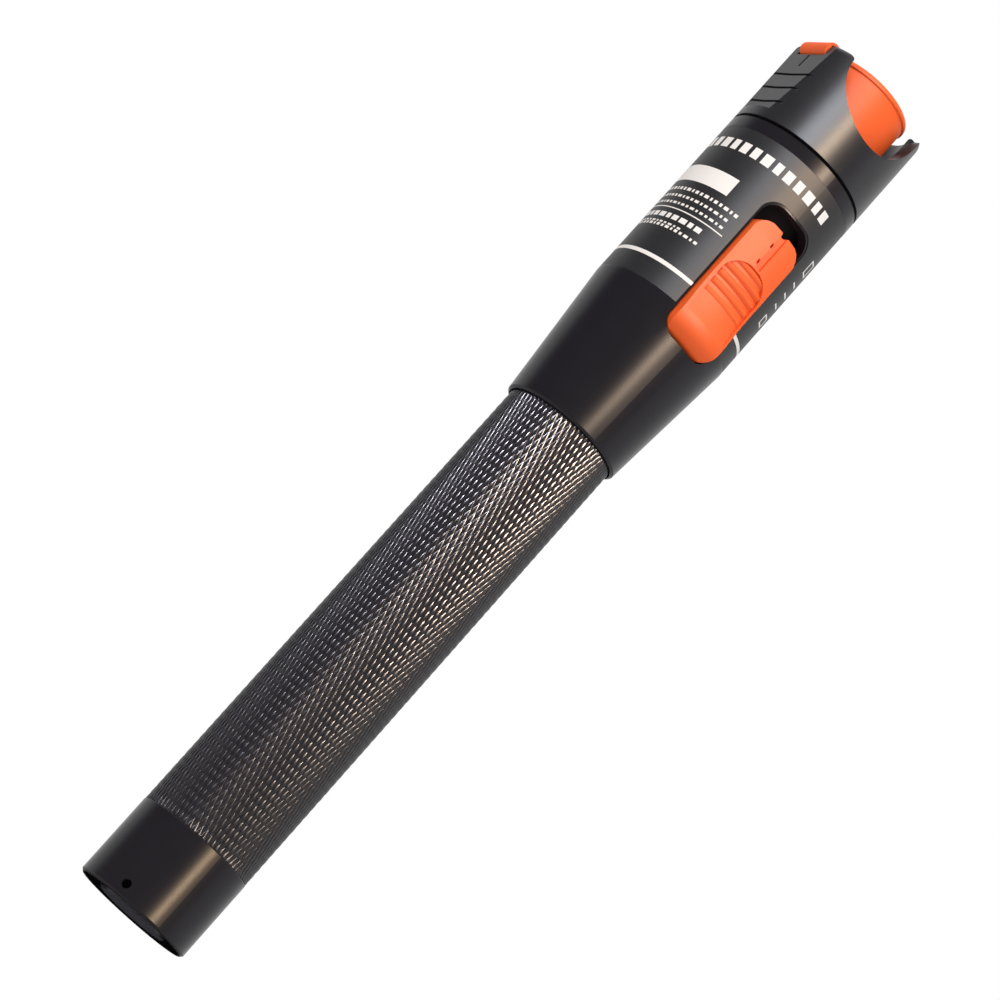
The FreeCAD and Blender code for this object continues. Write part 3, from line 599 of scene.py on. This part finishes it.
def dark_flag():
    """Curved dark card that only gloss sees: tall in front, low behind, so that black finishes stay deep."""
    radius, low, front_high, back_high = 1.4, -0.9, 1.3, -0.04
    front, step = 90, 6                 # half the angle of the tall part, and of one flat, in degrees
    s = settings("stage")
    bm = bmesh.new()
    for offset in range(-180, 180, step):
        high = front_high if -front <= offset < front else back_high
        left, right = (s.flag_azimuth + math.radians(turn) for turn in (offset, offset + step))
        bm.faces.new([bm.verts.new(polar(radius, angle, z))
                      for angle, z in ((left, low), (right, low), (right, high), (left, high))])
    flag = object_from(bm, "dark_flag", solid=False)
    material = bare_material("flag_cloth_black")
    tree = material.node_tree
    glow = add_node(tree, "ShaderNodeEmission", {"Color": linear(s.flag_colour), "Strength": 1.0})
    add_node(tree, "ShaderNodeOutputMaterial", {"Surface": glow.outputs["Emission"]})
    give(flag, material)
    flag.visible_camera = flag.visible_diffuse = flag.visible_shadow = flag.visible_transmission = False


def direction(azimuth, elevation):
    """Unit vector from the pen, with azimuth from +X and elevation in radians."""
    return Vector((math.cos(azimuth) * math.cos(elevation), math.sin(azimuth) * math.cos(elevation),
                   math.sin(elevation)))


def softbox(name, azimuth, elevation, distance, width, height, watts, hex_colour, lean, shines_on):
    """Rectangular lamp aimed at the pen. With shines_on it only adds gloss, on those pieces."""
    lamp = bpy.data.lights.new(name, "AREA")
    lamp.shape = "RECTANGLE"
    lamp.size, lamp.size_y = width, height
    lamp.energy = watts
    lamp.color = linear(hex_colour)[:3]
    holder = bpy.data.objects.new(name, lamp)
    way = direction(math.radians(azimuth), math.radians(elevation))
    turn = way.to_track_quat("Z", "Y") @ Quaternion((0, 0, 1), math.radians(lean))
    holder.location = MIDDLE + way * distance
    holder.rotation_euler = turn.to_euler()
    holder.visible_diffuse, holder.visible_glossy = not shines_on, bool(shines_on)
    if shines_on:
        lit = bpy.data.collections.new(name + "_lit")
        for piece in shines_on:
            lit.objects.link(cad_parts.get(piece) or bpy.context.scene.objects[piece])
        holder.light_linking.receiver_collection = lit
    bpy.context.scene.collection.objects.link(holder)


def white_world():
    """White where the camera, gloss and glass see it, a moderate even light elsewhere."""
    world = bpy.data.worlds.new("studio_white")
    bpy.context.scene.world = world
    world.use_nodes = True
    tree = world.node_tree
    tree.nodes.clear()
    rays = add_node(tree, "ShaderNodeLightPath").outputs
    seen = rays["Is Camera Ray"]
    for ray in ("Is Glossy Ray", "Is Transmission Ray"):
        seen = add_node(tree, "ShaderNodeMath", {0: seen, 1: rays[ray]}, operation="MAXIMUM").outputs["Value"]
    even, white = (add_node(tree, "ShaderNodeBackground", {"Color": (1, 1, 1, 1), "Strength": strength})
                   for strength in (settings("stage").even_light, 1.0))
    mix = add_node(tree, "ShaderNodeMixShader",
                   {0: seen, 1: even.outputs["Background"], 2: white.outputs["Background"]})
    add_node(tree, "ShaderNodeOutputWorld", {"Surface": mix.outputs["Shader"]})


def camera():
    """Camera that looks at a point on the pen's axis, turned about its own axis."""
    s = settings("stage")
    forward = direction(s.azimuth + math.pi / 2, -s.elevation)
    data = bpy.data.cameras.new("camera")
    data.lens, data.sensor_width, data.clip_start = s.lens, 36.0, 0.01
    holder = bpy.data.objects.new("camera", data)
    holder.location = Vector((0, 0, s.aim)) - forward * s.distance
    holder.rotation_mode = "QUATERNION"
    holder.rotation_quaternion = forward.to_track_quat("-Z", "Y") @ Quaternion((0, 0, 1), s.roll)
    bpy.context.scene.collection.objects.link(holder)
    bpy.context.scene.camera = holder


# ---- operators -----------------------------------------------------------------
class AddKnurledBarrel(bpy.types.Operator):
    """Add the knurled battery barrel in place of the plain one"""
    bl_idname = "fault_locator.knurled_barrel"
    bl_label = "Knurled barrel"

    def execute(self, context):
        piece = knurled_barrel()
        give(piece, knurled_aluminium())
        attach(piece, "main_unit")
        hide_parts("barrel")
        return {"FINISHED"}


class AddCapThread(bpy.types.Operator):
    """Add the thread on the tail cap's skirt"""
    bl_idname = "fault_locator.cap_thread"
    bl_label = "Cap thread"

    def execute(self, context):
        piece = cap_thread()
        give(piece, anodised_aluminium())
        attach(piece, "tail_assembly")
        return {"FINISHED"}


class AddLabelPrint(bpy.types.Operator):
    """Add the plain printed marks on the film"""
    bl_idname = "fault_locator.label_print"
    bl_label = "Label print"

    def execute(self, context):
        piece = label_print()
        give(piece, screen_ink())
        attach(piece, "main_unit")
        return {"FINISHED"}


class FinishCasing(bpy.types.Operator):
    """Give the casing, the orange parts and the seals their finishes"""
    bl_idname = "fault_locator.finish_casing"
    bl_label = "Casing finishes"

    def execute(self, context):
        finish_nodes(CASING)
        return {"FINISHED"}


class FinishInside(bpy.types.Operator):
    """Give the optics, the cells and the electronics their finishes"""
    bl_idname = "fault_locator.finish_inside"
    bl_label = "Inner finishes"

    def execute(self, context):
        finish_nodes(INSIDE)
        return {"FINISHED"}


class SetStage(bpy.types.Operator):
    """Add the floor, the softboxes, the world and the camera"""
    bl_idname = "fault_locator.stage"
    bl_label = "Stage"

    def execute(self, context):
        round_floor()
        white_world()
        camera()
        dark_flag()
        for name, values in SOFTBOXES.items():
            softbox(name, *values)
        context.scene.view_settings.view_transform = "Standard"
        return {"FINISHED"}


class FaultLocatorPanel(bpy.types.Panel):
    """Sidebar panel that lists the settings and the operators"""
    bl_idname = "VIEW3D_PT_fault_locator"
    bl_label = "Fault Locator"
    bl_space_type = "VIEW_3D"
    bl_region_type = "UI"
    bl_category = "Fault Locator"

    def draw(self, context):
        for group, kind in GROUPS.items():
            values = getattr(context.scene, "fault_locator_" + group)
            box = self.layout.box()
            for name in kind.__annotations__:
                box.prop(values, name)
        for operator in OPERATORS:
            self.layout.operator(operator.bl_idname)


OPERATORS = [AddKnurledBarrel, AddCapThread, AddLabelPrint, FinishCasing, FinishInside, SetStage]


def register():
    for group, kind in GROUPS.items():
        bpy.utils.register_class(kind)
        setattr(bpy.types.Scene, "fault_locator_" + group, PointerProperty(type=kind))
    for kind in OPERATORS + [FaultLocatorPanel]:
        bpy.utils.register_class(kind)


def unregister():
    for kind in reversed(OPERATORS + [FaultLocatorPanel]):
        bpy.utils.unregister_class(kind)
    for group, kind in reversed(GROUPS.items()):
        delattr(bpy.types.Scene, "fault_locator_" + group)
        bpy.utils.unregister_class(kind)


def main():
    register()
    bpy.ops.fault_locator.knurled_barrel()
    bpy.ops.fault_locator.cap_thread()
    bpy.ops.fault_locator.label_print()
    bpy.ops.fault_locator.finish_casing()
    bpy.ops.fault_locator.finish_inside()
    bpy.ops.fault_locator.stage()


if __name__ == "__main__":
    main()
